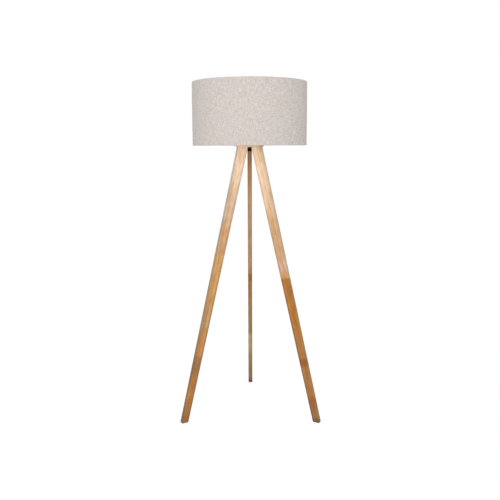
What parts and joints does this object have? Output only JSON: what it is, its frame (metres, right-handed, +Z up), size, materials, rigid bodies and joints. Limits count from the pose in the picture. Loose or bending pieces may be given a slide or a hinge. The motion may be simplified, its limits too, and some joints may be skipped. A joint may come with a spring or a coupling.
{
  "type": "tripod floor lamp",
  "caption": "Floor lamp on folding tapered wooden legs under a round wooden hub, with a switched bulb holder inside a linen drum shade.",
  "frame": {"origin": "on the floor, on the lamp's axis, midway between the three feet", "axes": "+Z up along the lamp's axis; +Y towards the rear leg; the front, with the switch knob, faces -Y"},
  "size_m": [0.6234, 0.605, 1.4845],
  "materials": {
    "leg_wood": "oiled, satin",
    "hub_wood": "oiled, satin",
    "foot_felt": "pressed felt",
    "hinge_steel": "brushed",
    "zinc_steel": "zinc plated",
    "black_steel": "black oxide",
    "gland_black": "moulded",
    "holder_black": "moulded",
    "holder_ceramic": "unglazed",
    "contact_brass": "bare",
    "switch_plastic": "moulded",
    "frame_wire": "white paint",
    "shade_liner": "matte film",
    "shade_linen": "slubbed linen",
    "bulb_metal": "plated",
    "bulb_insulator": "glossy",
    "bulb_white": "satin",
    "bulb_opal": "opal"
  },
  "bodies": {
    "stand": {"hub_disc": "hub_wood", "hub_hinge_screws": "zinc_steel", "hinge_rear_fixed_leaf": "hinge_steel", "hinge_rear_pin": "hinge_steel", "hinge_left_fixed_leaf": "hinge_steel", "hinge_left_pin": "hinge_steel", "hinge_right_fixed_leaf": "hinge_steel", "hinge_right_pin": "hinge_steel", "threaded_tube": "zinc_steel", "tube_lower_washer": "black_steel", "tube_nut": "black_steel", "tooth_lock_washer": "zinc_steel", "cord_gland": "gland_black", "holder_base_cap": "holder_black", "holder_shell": "holder_black", "holder_insert": "holder_ceramic", "terminal_screws": "contact_brass", "holder_screw_contact": "contact_brass", "holder_contact_tongue": "contact_brass", "switch_body": "switch_plastic", "shade_fitter_ring": "frame_wire", "shade_fitter_arms": "frame_wire", "shade_lower_wire": "frame_wire", "shade_upper_wire": "frame_wire", "shade_liner": "shade_liner", "shade_linen": "shade_linen"},
    "switch": {"switch_stem": "contact_brass", "switch_knob": "holder_black"},
    "clamp_ring": {"shade_clamp_ring": "holder_black"},
    "bulb": {"bulb_tip_contact": "bulb_metal", "bulb_insulator": "bulb_insulator", "bulb_screw_cap": "bulb_metal", "bulb_body": "bulb_white", "bulb_led_board": "bulb_metal", "bulb_globe": "bulb_opal"},
    "leg_rear": {"leg_rear": "leg_wood", "hinge_rear_moving_leaf": "hinge_steel", "leg_rear_hinge_screws": "zinc_steel", "foot_pad_rear": "foot_felt"},
    "leg_left": {"leg_left": "leg_wood", "hinge_left_moving_leaf": "hinge_steel", "leg_left_hinge_screws": "zinc_steel", "foot_pad_left": "foot_felt"},
    "leg_right": {"leg_right": "leg_wood", "hinge_right_moving_leaf": "hinge_steel", "leg_right_hinge_screws": "zinc_steel", "foot_pad_right": "foot_felt"}
  },
  "joints": [
    {"name": "leg_rear_fold", "type": "hinge", "parent": "stand", "child": "leg_rear", "pos_m": [0, 0.016, 1.2043], "axis": [-1, 0, 0], "range_deg": [0, 14]},
    {"name": "leg_left_fold", "type": "hinge", "parent": "stand", "child": "leg_left", "pos_m": [-0.01386, -0.008, 1.2043], "axis": [0.5, -0.866, 0], "range_deg": [0, 14]},
    {"name": "leg_right_fold", "type": "hinge", "parent": "stand", "child": "leg_right", "pos_m": [0.01386, -0.008, 1.2043], "axis": [0.5, 0.866, 0], "range_deg": [0, 14]},
    {"name": "switch_turn", "type": "hinge", "parent": "stand", "child": "switch", "pos_m": [0, -0.0235, 1.241], "axis": [0, -1, 0], "continuous": true},
    {"name": "clamp_ring_turn", "type": "hinge", "parent": "stand", "child": "clamp_ring", "pos_m": [0, 0, 1.2627], "axis": [0, 0, 1], "continuous": true},
    {"name": "bulb_lift", "type": "slide", "parent": "stand", "child": "bulb", "axis": [0, 0, 1], "range_m": [0, 0.24]}
  ]
}
